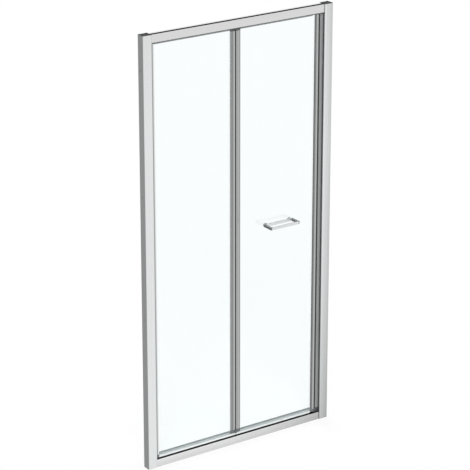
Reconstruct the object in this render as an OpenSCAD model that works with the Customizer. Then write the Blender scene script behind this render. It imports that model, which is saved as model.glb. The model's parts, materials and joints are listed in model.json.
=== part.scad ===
// Bifold shower door in an aluminium frame, built as separate pieces.
// Millimetres. X runs along the opening, -Y is the outside, +Z is up.
// Origin: bottom centre of the frame, in the middle plane of the glass.
// Closed pose: both panels lie in the plane y = 0.

/* [Overall] */
// Outside width of the frame, wall to wall
overall_width = 967; // [860:1:1060]
// Outside height of the frame, channel caps included
overall_height = 1950; // [1750:1:2100]
// Outside depth of the wall channels
frame_depth = 39; // [39:0.5:44]

/* [Frame] */
// Width of a wall channel seen from the front
channel_width = 42.5; // [40:0.5:48]
// Wall thickness of a wall channel
channel_wall = 2; // [1.8:0.1:2.2]
// Height of the top rail's front wall
top_rail_height = 35; // [34:0.5:40]
// Height of the bottom rail's front wall
bottom_rail_height = 35; // [34:0.5:37]
// Room left between wall and post for an uneven wall
adjust_room = 9; // [6:0.5:12]
// Pitch of the wall screw holes in each channel
wall_hole_pitch = 550; // [450:5:580]
// Diameter of the wall screw holes
wall_hole_d = 5.5; // [4.5:0.1:6]

/* [Panels] */
// Thickness of the toughened glass
glass_thickness = 6; // [5:0.5:6.5]
// Depth of the stiles, front to back
stile_depth = 20; // [19:0.5:21]
// Width of each stile beside the centre hinge, glazing lips included
hinge_stile_width = 23.5; // [21:0.5:28]
// Gap between the two hinge stiles
hinge_gap = 4; // [3.5:0.1:4.5]
// Distance of the fold from the middle of the door, towards the pivot
fold_offset = 18; // [10:0.5:24]
// Width of the stile on the closing edge, glazing lips included
leading_stile_width = 17.7; // [16:0.1:22]

/* [Moving fits] */
// Largest fold of the pivoted panel in degrees
fold_angle = 76; // [60:1:77]
// Radius of the pivot pins
pivot_pin_r = 4; // [3.5:0.1:4.2]
// Radius of the centre hinge pins
hinge_pin_r = 2.5; // [2:0.1:2.8]
// Radius of the guide pins
guide_pin_r = 3; // [2.5:0.1:3.4]
// Radial clearance of every turning fit
running_fit = 0.05; // [0.03:0.01:0.09]

/* [Handle] */
// Length of the handle loop
handle_length = 156; // [120:1:170]
// Reach of the handle from the glass
handle_reach = 60; // [45:1:62]
// Height of the handle bar
handle_height = 11; // [8:0.5:16]
// Thickness of the handle bar seen from above
handle_bar = 9.5; // [8:0.5:12]
// Height of the handle above the bottom of the frame
handle_level = 1000; // [900:1:1100]
// Distance of the handle's middle from the middle of the door
handle_x = 211.6; // [195:0.1:225]
// Distance between the two handle bolts
handle_pitch = 128; // [90:1:130]

/* [Hidden] */

$fn = 48;
fit = 0.1;                 // gap between pieces that are seated together
slide = 0.3;               // gap between the telescoping extrusions
e = 0.5;                   // how far a cutting tool runs past a face

// Frame, measured from the middle of the door
half_w = overall_width / 2;
half_d = frame_depth / 2;
cap_t = 1.6;                                // cap height above the channel
cap_step = 0.6;                             // lower part of the cap
frame_top = overall_height - cap_t;         // top of rails, posts, channels
mouth_x = half_w - channel_width;           // inner edge of a wall channel
post_x = mouth_x + 0.5;                     // inner face of a post
post_out = half_w - channel_wall - adjust_room;
rail_y = half_d - channel_wall - slide;     // half depth of posts and rails
rail_end = post_x - fit;
rail_half = rail_y - 1;                     // half depth of the rails
post_wall = 1.8;
post_face = 4.5;                            // thicker inner wall of a post
rail_wall = 2;
rail_base = 2.5;
rail_recess = 8.5;                          // top rail's web below its edges
top_web = frame_top - rail_recess;
chamber_y = 2;                              // front of its rear chamber
track_half = 7.2;                           // half width of the guide track
rib_t = 1.6;
rib_h = 18;
port_y = 11.6;                              // screw ports of the rails
port_z = 9;
port_r = 1.9;
rail_low = frame_top - top_rail_height;     // lower edge of the top rail

// Panels
stile_h = stile_depth / 2;
slot_half = glass_thickness / 2 + 1.5;      // half width of a glazing slot
lip_y = stile_h - 2;                        // outer face of a glazing lip
lip_root = stile_h - 0.8;                   // and where it leaves the stile
lip_slope = 4;                              // length of the slope between
rear_lip = 2.5;                             // length of the short rear lip
mouth_half = lip_y - 1.6;                   // slot half width at its mouth
mouth_deep = 8;                             // and how deep the mouth goes
glass_low = 56;
glass_high = rail_low - 7;
foot_z = 41;                                // underside of the end blocks
head_z = rail_low - 3;                      // top of the upper end blocks
side_foot = 55;                             // where the outer stiles start
side_head = rail_low - 6.6;                 // and where they end
hinge_foot = 66;                            // the same for the hinge stiles
hinge_head = rail_low - 14.5;
knuckle_low = 51;                           // underside of the lower hinge
fold_x = -fold_offset;                      // fold axis
hinge_y = -stile_h;                         // it lies in the front plane
pivot_x = -(post_x - 11);                   // fixed pivot axis
arm = fold_x - pivot_x;                     // each panel, axis to axis
guide_x = fold_x + arm;                     // guide axis
pivot_round = 10.4;                         // round edge about the pivot
pivot_edge = pivot_x + 5.5;
pivot_rim = pivot_edge + 2.4;
collar_r = pivot_pin_r + 2;
hinge_in = hinge_gap / 2;                   // distances from the fold axis
hinge_flat = hinge_in + 10.4;
hinge_out = hinge_in + hinge_stile_width;
lead_out = post_x - 25.5;
lead_main = 8.5;                            // measured from lead_out
lead_in = lead_out - leading_stile_width;
slot_pivot = pivot_x - 4.5;                 // slot bottoms
slot_hinge = hinge_in + 6.5;
slot_lead = 5;
glass_a_x0 = slot_pivot + 1;
glass_a_x1 = fold_x - slot_hinge - 1.15;
glass_b_x0 = fold_x + slot_hinge + 1.15;
glass_b_x1 = lead_out - slot_lead - 1.1;
skin = 0.1;                                 // gap between block and stile

// Centre hinge
knuckle_r = 5;
knuckle_clear = 5.4;
low_split = 58.5;                           // between the lower knuckles
high_split = (hinge_head + head_z) / 2;

// Guides
arm_half = 7;
neck_r = guide_pin_r - 1;                   // riveted neck of a guide pin
arm_low = foot_z + 1.5;                     // lower arm, between the seal fins
arm_high = arm_low + 4;
guide_block_in = 24;                        // block length towards the hinge
guide_block_out = 9;
guide_block_half = 6.8;
guide_x_open = pivot_x + 2 * (arm * cos(fold_angle)
                              + stile_h * sin(fold_angle));

// Handle
washer_t = 1;
handle_back = -(glass_thickness / 2 + washer_t);
handle_front = -(glass_thickness / 2 + handle_reach);

// Screws
small_screw_r = 1.6;
small_hole_r = 1.7;
lock_inset = 26.5;                          // lock screws from the frame edge
lock_low = 130;
lock_drop = 150;
lock_x = half_w - lock_inset;
lock_z = [lock_low, overall_height / 2, overall_height - lock_drop];
block_screw_length = 38;
wall_z = [for (i = [-1.5:1:1.5]) overall_height / 2 + i * wall_hole_pitch];

// ---------- helpers ----------

// Vertical extrusion of a plan outline between two heights
module rise(z0, z1) {
  translate([0, 0, z0]) linear_extrude(z1 - z0) children();
}

// Extrusion along X of an outline drawn in Y and Z
module run_x(x0, x1) {
  translate([x0, 0, 0]) rotate([90, 0, 90]) linear_extrude(x1 - x0) children();
}

// Rectangle with rounded corners from two opposite corners
module round_rect(x0, x1, y0, y1, r) {
  translate([x0 + r, y0 + r]) offset(r = r, $fn = 20)
    square([x1 - x0 - 2 * r, y1 - y0 - 2 * r]);
}

// Plain rectangle from two opposite corners
module rect(x0, x1, y0, y1) {
  translate([x0, y0]) square([x1 - x0, y1 - y0]);
}

module box(x0, x1, y0, y1, z0, z1) {
  translate([x0, y0, z0]) cube([x1 - x0, y1 - y0, z1 - z0]);
}

module rod_z(x, y, z0, z1, r) {
  translate([x, y, z0]) cylinder(h = z1 - z0, r = r);
}

module rod_y(x, y0, y1, z, r) {
  translate([x, y0, z]) rotate([-90, 0, 0]) cylinder(h = y1 - y0, r = r);
}

module rod_x(x0, x1, y, z, r) {
  translate([x0, y, z]) rotate([0, 90, 0]) cylinder(h = x1 - x0, r = r);
}

// Puts a copy of a left-hand shape on the right
module on_right() { mirror([1, 0, 0]) children(); }

// Shapes beside the hinge are drawn for panel b, from the fold axis
module on_b() { translate([fold_x, 0, 0]) children(); }
module on_a() { translate([fold_x, 0, 0]) mirror([1, 0, 0]) children(); }

// Shapes of the closing edge are drawn from its outer face inwards
module on_lead() { translate([lead_out, 0, 0]) mirror([1, 0, 0]) children(); }

// Shapes of the top rail are drawn downwards from its web
module from_web() { translate([0, 0, top_web]) mirror([0, 0, 1]) children(); }

// ---------- wall channels ----------

module wall_channel() {
  difference() {
    rise(0, frame_top) difference() {
      round_rect(-half_w, -mouth_x, -half_d, half_d, 0.6);
      rect(-half_w + channel_wall, -mouth_x + 5,
           -half_d + channel_wall, half_d - channel_wall);
    }
    for (z = wall_z)
      rod_x(-half_w - e, -half_w + channel_wall + e, 0, z, wall_hole_d / 2);
    for (z = lock_z)
      rod_y(-lock_x, half_d - channel_wall - e, half_d + e, z, 2.1);
  }
}

module wall_channel_left() { color("silver") wall_channel(); }
module wall_channel_right() { color("silver") on_right() wall_channel(); }

// Moulded cap: a plate over channel and post, lower from x0 to x1, with a
// tongue between channel and post
module channel_cap(x0, x1) {
  difference() {
    rise(frame_top, overall_height)
      round_rect(-half_w, -mouth_x, -half_d, half_d, 0.6);
    box(x0, x1, -half_d - e, half_d + e,
        overall_height - cap_step, overall_height + e);
  }
  box(-half_w + channel_wall + slide, -post_out - slide,
      -rail_y, rail_y, frame_top - 12, frame_top + 0.1);
}

// Both caps have their raised part at the right-hand end
module channel_cap_left() {
  color("dimgray") channel_cap(-half_w - e, -mouth_x - 9);
}

module channel_cap_right() {
  color("dimgray") on_right() channel_cap(-half_w + 9, -mouth_x + e);
}

// ---------- posts ----------

module post_outline() {
  difference() {
    rect(-post_out, -post_x, -rail_y, rail_y);
    rect(-post_out + post_wall, -post_x - post_face,
         -rail_y + post_wall, rail_y - post_wall);
  }
}

// Holes of a left-hand post for its frame screws and lock screws
module post_holes() {
  for (y = [-port_y, port_y], z = [port_z, top_web - port_z])
    rod_x(-post_x - post_face - e, -post_x + e, y, z, 2.1);
  for (z = lock_z)
    rod_y(-lock_x, rail_y - post_wall - e, rail_y + e, z, small_hole_r);
}

module post_left() {
  color("silver") difference() {
    rise(0, frame_top) difference() {
      post_outline();
      rect(-post_x - 2.5, -post_x + e, -14.6, -12.4);
    }
    post_holes();
  }
}

module post_right() {
  color("silver") on_right() difference() {
    rise(0, frame_top) difference() {
      post_outline();
      rect(-post_x - 3, -post_x + e, -2, 2);
      rect(-post_x - 2.6, -post_x + e, -15, -8.5);
    }
    post_holes();
  }
}

// ---------- rails ----------

// Rail section in Y and Z, web down, with guide track and screw ports
module rail_outline(height, rear) {
  rect(-rail_half, rail_half, 0, rail_base);
  rect(-rail_half, -rail_half + rail_wall, 0, height);
  rect(rail_half - rail_wall, rail_half, 0, rear);
  for (s = [-1, 1]) {
    rect(s > 0 ? track_half : -track_half - rib_t,
         s > 0 ? track_half + rib_t : -track_half, 0, rib_h);
    translate([s * port_y, port_z]) circle(r = 3.8, $fn = 24);
    rect(s > 0 ? port_y - 1 : -rail_half + 0.4,
         s > 0 ? rail_half - 0.4 : -port_y + 1, port_z - 1, port_z + 1);
  }
}

// Walls above the top rail's web: an open groove and a closed chamber
module crown_outline() {
  rect(-rail_half, -rail_half + rail_wall, -rail_recess, 1);
  rect(rail_half - rail_wall, rail_half, -rail_recess, 1);
  rect(chamber_y, chamber_y + 1.6, -rail_recess, 1);
  rect(chamber_y, rail_half, -rail_recess, -rail_recess + 1.8);
}

module rail_ports() {
  for (y = [-port_y, port_y])
    rod_x(-rail_end - e, rail_end + e, y, port_z, port_r);
}

module top_rail() {
  low = top_rail_height - rail_recess;
  color("silver") from_web() difference() {
    run_x(-rail_end, rail_end) {
      rail_outline(low, low);
      crown_outline();
    }
    rail_ports();
    for (x = [pivot_x + 18, stop_screw_x])
      rod_z(x, 0, -e, rail_base + e, small_hole_r);
  }
}

module bottom_rail() {
  color("silver") difference() {
    run_x(-rail_end, rail_end)
      rail_outline(bottom_rail_height, bottom_rail_height - 6);
    rail_ports();
    rod_z(pivot_x + 18, 0, -e, rail_base + e, small_hole_r);
  }
}

// Self-tapping screws that hold the rails between the posts
module frame_screw() {
  rod_x(-post_x - post_face - fit - 2.4, -post_x - post_face - fit, 0, 0, 3.2);
  rod_x(-post_x - post_face - fit - 1, -rail_end + 18, 0, 0, port_r - 0.05);
}

module frame_screws() {
  color("gray") for (y = [-port_y, port_y], z = [port_z, top_web - port_z])
    translate([0, y, z]) {
      frame_screw();
      on_right() frame_screw();
    }
}

// Screws that lock each post in its wall channel, set from the inside
module lock_screws() {
  color("gray") for (z = lock_z, x = [-lock_x, lock_x]) {
    rod_y(x, half_d + fit, half_d + 2.2, z, 3.5);
    rod_y(x, rail_y - post_wall - 6, half_d + 1, z, small_screw_r);
  }
}

module lock_screw_covers() {
  color("lightgray") for (z = lock_z, x = [-lock_x, lock_x])
    difference() {
      rod_y(x, half_d, half_d + 3.8, z, 5.5);
      rod_y(x, half_d - e, half_d + 2.4, z, 3.8);
    }
}

// ---------- pivot sockets, travel stop and their screws ----------

socket_reach = 26;
socket_in = pivot_x + socket_reach;
stop_x1 = guide_x_open - guide_block_in - 0.5;
stop_x0 = stop_x1 - 18;
stop_screw_x = stop_x1 - 10;

// Bearing block that lies between the ribs of a track
module pivot_socket() {
  difference() {
    rise(rail_base + fit, rib_h + 2)
      round_rect(-rail_end + fit, socket_in, -track_half + fit,
                 track_half - fit, 2);
    rod_z(pivot_x, 0, rail_base + 2, rib_h + 3, pivot_pin_r + running_fit);
    rod_z(pivot_x + 18, 0, 0, rib_h + 3, small_hole_r);
    rod_z(pivot_x + 18, 0, rib_h - 1, rib_h + 3, 3.4);
  }
}

module pivot_socket_bottom() { color("dimgray") pivot_socket(); }
module pivot_socket_top() { color("dimgray") from_web() pivot_socket(); }

// Buffer in the top track that limits how far the door folds
module open_stop() {
  color("dimgray") from_web() difference() {
    rise(rail_base + fit, rib_h)
      round_rect(stop_x0, stop_x1, -track_half + fit, track_half - fit, 2);
    rod_z(stop_screw_x, 0, 0, rib_h + e, small_hole_r);
    rod_z(stop_screw_x, 0, rib_h - 3, rib_h + e, 3.4);
  }
}

module track_screw(x, seat) {
  rod_z(x, 0, seat + fit, seat + 2.2, 3);
  rod_z(x, 0, 0.3, seat + 1, small_screw_r);
}

module track_screws() {
  color("gray") {
    track_screw(pivot_x + 18, rib_h - 1);
    from_web() {
      track_screw(pivot_x + 18, rib_h - 1);
      track_screw(stop_screw_x, rib_h - 3);
    }
  }
}

// ---------- seals on the posts ----------

// Lip seal that closes the slit in front of the pivoted edge
module pivot_seal() {
  color("slategray") rise(bottom_rail_height + 1, rail_low - 1) {
    rect(-post_x - 2.3, -post_x + 1.2, -14.4, -12.6);
    rect(-post_x + 0.2, -post_x + 1.2, -15.8, -11.8);
    rect(-post_x + 0.2, -post_x + 6, -14.2, -12.8);
  }
}

seal_low = side_foot + 1.5;
seal_high = side_head - 1;
jamb_tip = post_x - 15;                     // tip of the fixed magnet seal
door_tip = jamb_tip - 1;                    // tip of the moving magnet seal

module jamb_magnet_seal() {
  color("gray") rise(seal_low, seal_high) difference() {
    union() {
      round_rect(jamb_tip, post_x - fit, -7, 5, 1.5);
      rect(post_x - 3, post_x + 2.8, -1.8, 1.8);
    }
    rect(jamb_tip + 1.2, jamb_tip + 7.2, -4, 2);
  }
}

// Rubber foot that closes the corner below the magnet seals
module jamb_foot() {
  color("black") rise(bottom_rail_height + 1, seal_low - 0.8) {
    round_rect(lead_out + 1.5, post_x - fit, -7, 5, 1.5);
    rect(post_x - 3, post_x + 2.8, -1.8, 1.8);
  }
}

// Rubber strip in the front groove of the closing post
module post_strip() {
  color("black") rise(bottom_rail_height + 1, rail_low - 1)
    rect(post_x - 0.3, post_x + 2.5, -14.9, -8.6);
}

module jamb_magnet() {
  color("black") rise(seal_low + 1, seal_high - 1)
    rect(jamb_tip + 1.3, jamb_tip + 7.1, -3.9, 1.9);
}

// ---------- glass ----------

module glass_a() {
  color("lightcyan", 0.3)
    box(glass_a_x0, glass_a_x1, -glass_thickness / 2, glass_thickness / 2,
        glass_low, glass_high);
}

module handle_spots() {
  for (s = [-1, 1]) translate([handle_x + s * handle_pitch / 2, 0,
                               handle_level]) children();
}

module glass_b() {
  color("lightcyan", 0.3) difference() {
    box(glass_b_x0, glass_b_x1, -glass_thickness / 2, glass_thickness / 2,
        glass_low, glass_high);
    handle_spots() rod_y(0, -glass_thickness, glass_thickness, 0, 6);
  }
}

// ---------- stile sections ----------

// Glazing lips that leave the stile at x0: a long one in front that ends at
// x1, with a slope and a flat, and a short one behind
module lips(x0, x1) {
  polygon([[x0 - 3, -lip_root], [x0, -lip_root], [x0 + lip_slope, -lip_y],
           [x1, -lip_y], [x1, 0], [x0 - 3, 0]]);
  rect(x0 - 3, x0 + rear_lip, -1, lip_y);
}

// Slot for glass and gasket from its bottom to beyond the lips at x1
module glass_slot(bottom, x1) {
  rect(bottom, x1 + 5, -slot_half, slot_half);
  rect(x1 - mouth_deep, x1 + 5, -mouth_half, 0);
}

// Pivoted edge: round about the pivot axis, with sloped lips on the glass
module pivot_outline() {
  intersection() {
    translate([pivot_x, 0]) circle(r = pivot_round, $fn = 48);
    rect(pivot_x - 20, pivot_x + 1, -stile_h, stile_h);
  }
  polygon([[pivot_x, -stile_h], [pivot_edge, -stile_h],
           [pivot_rim, -lip_y + 1], [pivot_rim, lip_y - 1],
           [pivot_edge, stile_h], [pivot_x, stile_h]]);
}

module pivot_slot() {
  rect(slot_pivot, pivot_rim + 20, -slot_half, slot_half);
}

// Edge beside the centre hinge, measured from the fold axis
module hinge_outline() {
  round_rect(hinge_in, hinge_flat, -stile_h, stile_h, 2);
  lips(hinge_flat, hinge_out);
}

module hinge_slot() { glass_slot(slot_hinge, hinge_out); }

// Closing edge, measured from its outer face inwards
module lead_outline() {
  round_rect(0, lead_main, -stile_h, stile_h, 2);
  lips(lead_main, leading_stile_width);
}

module lead_slot() { glass_slot(slot_lead, leading_stile_width); }

port_pivot = pivot_x - 7.3;                 // screw ports of the stiles
port_hinge = hinge_in + 3.3;
port_hinge_y = 5.6;
port_lead = 2.6;
port_lead_y = 6.4;
stile_port_r = 1.45;
block_screw_r = 1.4;
head_sink = 1.9;                            // depth of the screw head seats
head_seat_r = 2.5;

// ---------- stiles ----------

module pivot_stile() {
  color("silver") difference() {
    rise(side_foot, side_head) difference() {
      pivot_outline();
      pivot_slot();
    }
    rod_z(port_pivot, 0, side_foot - e, side_head + e, stile_port_r);
  }
}

module hinge_stile() {
  difference() {
    rise(hinge_foot, hinge_head) difference() {
      hinge_outline();
      hinge_slot();
    }
    rod_z(port_hinge, port_hinge_y, hinge_foot - e, hinge_head + e,
          stile_port_r);
  }
}

module hinge_stile_a() {
  color("silver") on_a() difference() {
    hinge_stile();
    box(hinge_in - e, hinge_in + 2.5, -2.2, 1.2,
        hinge_foot - e, hinge_head + e);
  }
}

module hinge_stile_b() { color("silver") on_b() hinge_stile(); }

module leading_stile() {
  color("silver") on_lead() difference() {
    rise(side_foot, side_head) difference() {
      lead_outline();
      lead_slot();
      rect(-e, 2.6, -2, 2);
    }
    rod_z(port_lead, port_lead_y, side_foot - e, side_head + e, stile_port_r);
  }
}

// ---------- glazing gaskets ----------

glass_gap = glass_thickness / 2 + fit;

// Section around a glass edge: rear arm, and front arm that can be thick in
// the wide mouth of a slot
module gasket(bottom, rear, front, thick) {
  outer = slot_half - fit;
  rise(glass_low, glass_high) {
    rect(bottom, bottom + 0.8, -outer, outer);
    rect(bottom, front, -outer, -glass_gap);
    rect(bottom, rear, glass_gap, outer);
    if (thick)
      rect(front - mouth_deep + fit, front, fit - mouth_half, -glass_gap);
  }
}

module gaskets_a() {
  color("lightgray") {
    gasket(slot_pivot + fit, pivot_rim, pivot_rim, false);
    on_a() gasket(slot_hinge + fit, hinge_flat + rear_lip, hinge_out, true);
  }
}

module gaskets_b() {
  color("lightgray") {
    on_b() gasket(slot_hinge + fit, hinge_flat + rear_lip, hinge_out, true);
    on_lead() gasket(slot_lead + fit, lead_main + rear_lip,
                     leading_stile_width, true);
  }
}

// ---------- pivot blocks and pins ----------

// End pieces of the pivoted stile: a block below, a plate above
module pivot_block_bottom() {
  color("dimgray") difference() {
    rise(foot_z, side_foot - skin) pivot_outline();
    rod_z(pivot_x, 0, foot_z - e, side_foot - 3, pivot_pin_r + 0.02);
    rod_z(port_pivot, 0, foot_z - e, side_foot + e, stile_port_r);
    rod_z(port_pivot, 0, foot_z - e, foot_z + head_sink, head_seat_r);
  }
}

module pivot_block_top() {
  color("dimgray") difference() {
    rise(side_head + skin, head_z) pivot_outline();
    rod_z(pivot_x, 0, side_head - e, head_z + e, pivot_neck_r + 0.02);
    rod_z(port_pivot, 0, side_head - e, head_z + e, stile_port_r);
    rod_z(port_pivot, 0, head_z - head_sink, head_z + e, head_seat_r);
  }
}

pivot_neck_r = pivot_pin_r - 1;

// Lower pin carries the panel: its collar rests on the socket
module pivot_pin_bottom() {
  color("gray") {
    rod_z(pivot_x, 0, rail_base + 3, side_foot - 3.5, pivot_pin_r);
    rod_z(pivot_x, 0, rib_h + 2.35, rib_h + 6, collar_r);
    rod_z(pivot_x, 0, foot_z - 3, foot_z - fit, collar_r);
  }
}

// Upper pin, riveted into its plate by a thinner neck
module pivot_pin_top() {
  color("gray") {
    rod_z(pivot_x, 0, side_head + skin, head_z + 1, pivot_neck_r);
    rod_z(pivot_x, 0, head_z + fit, head_z + 1.6, collar_r);
    rod_z(pivot_x, 0, head_z + 1, top_web - rail_base - 3, pivot_pin_r);
  }
}

// ---------- centre hinge ----------

// Hinge block with its eye between z2 and z3, measured from the fold axis
module hinge_block(z0, z1, glass0, glass1, z2, z3, bore) {
  difference() {
    union() {
      difference() {
        rise(z0, z1) hinge_outline();
        rod_z(0, hinge_y, z0 - e, z1 + e, knuckle_clear);
      }
      rise(z2, z3) {
        translate([0, hinge_y]) circle(r = knuckle_r, $fn = 48);
        difference() {
          rect(0, 8, hinge_y, hinge_y + 5);
          rect(5, 9, hinge_y - 1, hinge_y + 0.6);
        }
      }
    }
    rise(glass0, glass1) hinge_slot();
    rod_z(0, hinge_y, z2 - e, z3 + e, bore);
    rod_z(port_hinge, port_hinge_y, z0 - e, z1 + e, stile_port_r);
  }
}

module low_hinge_block(z2, z3, bore) {
  difference() {
    hinge_block(knuckle_low, hinge_foot - skin, glass_low - 0.3,
                hinge_foot + e, z2, z3, bore);
    rod_z(port_hinge, port_hinge_y, knuckle_low - e, knuckle_low + head_sink,
          head_seat_r);
  }
}

module high_hinge_block(z2, z3, bore) {
  difference() {
    hinge_block(hinge_head + skin, head_z, hinge_head - e, glass_high + 0.3,
                z2, z3, bore);
    rod_z(port_hinge, port_hinge_y, head_z - head_sink, head_z + e,
          head_seat_r);
  }
}

// The pins are pressed into panel a's eyes and turn in panel b's
module hinge_block_a_bottom() {
  color("dimgray") on_a()
    low_hinge_block(knuckle_low, low_split, hinge_pin_r + 0.02);
}

module hinge_block_b_bottom() {
  color("dimgray") on_b()
    low_hinge_block(low_split + slide, hinge_foot - 0.4,
                    hinge_pin_r + running_fit);
}

module hinge_block_a_top() {
  color("dimgray") on_a()
    high_hinge_block(high_split, head_z, hinge_pin_r + 0.02);
}

module hinge_block_b_top() {
  color("dimgray") on_b()
    high_hinge_block(hinge_head + 0.4, high_split - slide,
                     hinge_pin_r + running_fit);
}

module hinge_pins() {
  color("gray") on_b() {
    rod_z(0, hinge_y, knuckle_low - fit, hinge_foot - 0.4, hinge_pin_r);
    rod_z(0, hinge_y, knuckle_low - 1.3, knuckle_low - fit, hinge_pin_r + 1.2);
    rod_z(0, hinge_y, hinge_head + 0.4, head_z + fit, hinge_pin_r);
    rod_z(0, hinge_y, head_z + fit, head_z + 1.3, hinge_pin_r + 1.2);
  }
}

// Soft seal that fills the seam between the two hinge stiles
module hinge_seal() {
  color("black") on_b() rise(hinge_foot + 0.5, hinge_head - 0.5) {
    round_rect(-hinge_in + fit, hinge_in - 0.4, -6.5, 6.5, 1);
    rect(-hinge_in - 2.4, 0, -2.1, 1.1);
  }
}

// ---------- seals on the glass edges ----------

grip_y = slot_half - 0.4;                   // half width of a seal's grip

// Grip with a bead and a fin on the upper edge, in Y and Z
module top_seal_outline() {
  difference() {
    union() {
      rect(-grip_y, grip_y, rail_low - 11.2, glass_high + 1.4);
      rect(-slot_half, slot_half, rail_low - 11.2, rail_low - 9.4);
    }
    rect(-glass_gap, glass_gap, rail_low - 12, glass_high + fit);
  }
  rect(-1, 1, glass_high + 1, rail_low - 2);
}

module top_seal_a() {
  color("gray") run_x(pivot_rim + 0.2, fold_x - hinge_out - 0.2)
    top_seal_outline();
}

// It ends beside the guide arm
module top_seal_b() {
  color("gray") run_x(fold_x + hinge_out + 0.2, guide_x - arm_half - 0.3)
    top_seal_outline();
}

fin_low = bottom_rail_height + 4.3;
seal_base = 48.5;                           // underside of the lower seal
seal_top = 65;

// Grip with a bead, base and two spread fins on the lower edge
module bottom_seal_outline() {
  difference() {
    union() {
      rect(-grip_y, grip_y, seal_base, seal_top);
      rect(-slot_half, slot_half, glass_low + 1, seal_top);
    }
    rect(-glass_gap, glass_gap, glass_low - fit, seal_top + 1);
  }
  rect(-5.2, 5.2, seal_base, seal_base + 1.5);
  polygon([[3.9, seal_base + 0.5], [5.5, fin_low], [6.7, fin_low],
           [5.2, seal_base + 0.5]]);
  polygon([[-5.2, seal_base + 0.5], [-6.7, fin_low], [-5.5, fin_low],
           [-3.9, seal_base + 0.5]]);
}

// The grip stops at the stiles; base and fins run on below the hinge
module bottom_seal(x0, x1, low_x0, low_x1) {
  difference() {
    run_x(low_x0, low_x1) bottom_seal_outline();
    box(low_x0 - e, x0, -20, 20, seal_base + 1.5, seal_top + 5);
    box(x1, low_x1 + e, -20, 20, seal_base + 1.5, seal_top + 5);
  }
}

module bottom_seal_a() {
  color("gray") bottom_seal(pivot_rim + 0.2, fold_x - hinge_out - 0.2,
                            pivot_rim + 0.2, fold_x - hinge_in - 0.3);
}

module bottom_seal_b() {
  color("gray") bottom_seal(fold_x + hinge_out + 0.2, lead_in - 0.2,
                            fold_x + hinge_in + 0.3, lead_in - 0.2);
}

// ---------- screws that hold the end blocks to the stiles ----------

module block_screw(x, y, face, up) {
  translate([x, y, face]) mirror([0, 0, up ? 0 : 1]) {
    rod_z(0, 0, 0.2, head_sink - fit, 2.3);
    rod_z(0, 0, 1, block_screw_length, block_screw_r);
  }
}

module block_screws_a() {
  color("gray") {
    block_screw(port_pivot, 0, foot_z, true);
    block_screw(port_pivot, 0, head_z, false);
    on_a() {
      block_screw(port_hinge, port_hinge_y, knuckle_low, true);
      block_screw(port_hinge, port_hinge_y, head_z, false);
    }
  }
}

module block_screws_b() {
  color("gray") {
    on_b() {
      block_screw(port_hinge, port_hinge_y, knuckle_low, true);
      block_screw(port_hinge, port_hinge_y, head_z, false);
    }
    on_lead() {
      block_screw(port_lead, port_lead_y, foot_z, true);
      block_screw(port_lead, port_lead_y, head_z, false);
    }
  }
}

// ---------- guide arms, pins and blocks ----------

// Screw hole of an end piece of the leading stile, head seat at seat
module lead_screw_hole(seat0, seat1) {
  rod_z(port_lead, port_lead_y, foot_z - e, head_z + e, stile_port_r);
  rod_z(port_lead, port_lead_y, seat0, seat1, head_seat_r);
}

// Block under the leading stile with an arm between the seal's fins
module guide_arm_bottom() {
  at = lead_out - guide_x;
  color("dimgray") on_lead() difference() {
    union() {
      rise(foot_z, side_foot - skin) lead_outline();
      box(leading_stile_width - 3, at + 6.5, -3.5, 3.5, arm_low, arm_high);
    }
    rod_z(at, 0, foot_z - e, side_foot + e, neck_r + 0.02);
    rod_z(at, 0, foot_z - e, arm_low, guide_pin_r + 0.3);
    lead_screw_hole(foot_z - e, foot_z + head_sink);
  }
}

// Plate above the leading stile with an arm over the glass
module guide_arm_top() {
  at = lead_out - guide_x;
  color("dimgray") on_lead() difference() {
    rise(side_head + skin, head_z) {
      lead_outline();
      rect(leading_stile_width - 3, at + arm_half, -lip_y, lip_y);
    }
    rod_z(at, 0, side_head - e, head_z + e, neck_r + 0.02);
    lead_screw_hole(head_z - head_sink, head_z + e);
  }
}

// Guide pins, riveted into the arms by a thinner neck
module guide_pins() {
  color("gray") {
    rod_z(guide_x, 0, rail_base + 3, arm_low - fit, guide_pin_r);
    rod_z(guide_x, 0, arm_low - 1, arm_high + 0.2, neck_r);
    rod_z(guide_x, 0, arm_high + fit, arm_high + 1, guide_pin_r);
    rod_z(guide_x, 0, side_head + skin, head_z + 1, neck_r);
    rod_z(guide_x, 0, head_z + fit, top_web - rail_base - 3, guide_pin_r);
  }
}

// Nylon block that turns on the guide pin and slides in the track
module guide_block() {
  difference() {
    rise(rail_base + 0.8, rib_h + 1)
      round_rect(guide_x - guide_block_in, guide_x + guide_block_out,
                 -guide_block_half, guide_block_half, 3);
    rod_z(guide_x, 0, rail_base, rib_h + 2, guide_pin_r + running_fit);
  }
}

module guide_block_bottom() { color("white") guide_block(); }
module guide_block_top() { color("white") from_web() guide_block(); }

// ---------- magnet seal on the door ----------

module door_magnet_seal() {
  color("black") rise(seal_low, seal_high) difference() {
    union() {
      round_rect(lead_out + fit, door_tip, -5, 5, 1.5);
      rect(lead_out - 2.4, lead_out + 3, -1.8, 1.8);
    }
    rect(door_tip - 5.4, door_tip - 1.2, -3.2, 3.2);
  }
}

module door_magnet() {
  color("dimgray") rise(seal_low + 1, seal_high - 1)
    rect(door_tip - 5.3, door_tip - 1.3, -3.1, 3.1);
}

// ---------- handle ----------

module handle_loop() {
  x0 = handle_x - handle_length / 2;
  x1 = handle_x + handle_length / 2;
  color("silver") difference() {
    rise(handle_level - handle_height / 2, handle_level + handle_height / 2)
      difference() {
        round_rect(x0, x1, handle_front, handle_back, 1.5);
        round_rect(x0 + handle_bar, x1 - handle_bar,
                   handle_front + handle_bar, handle_back - handle_bar, 1);
      }
    handle_spots() rod_y(0, handle_back - handle_bar + 2, handle_back + e,
                         0, 2.52);
  }
}

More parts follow.
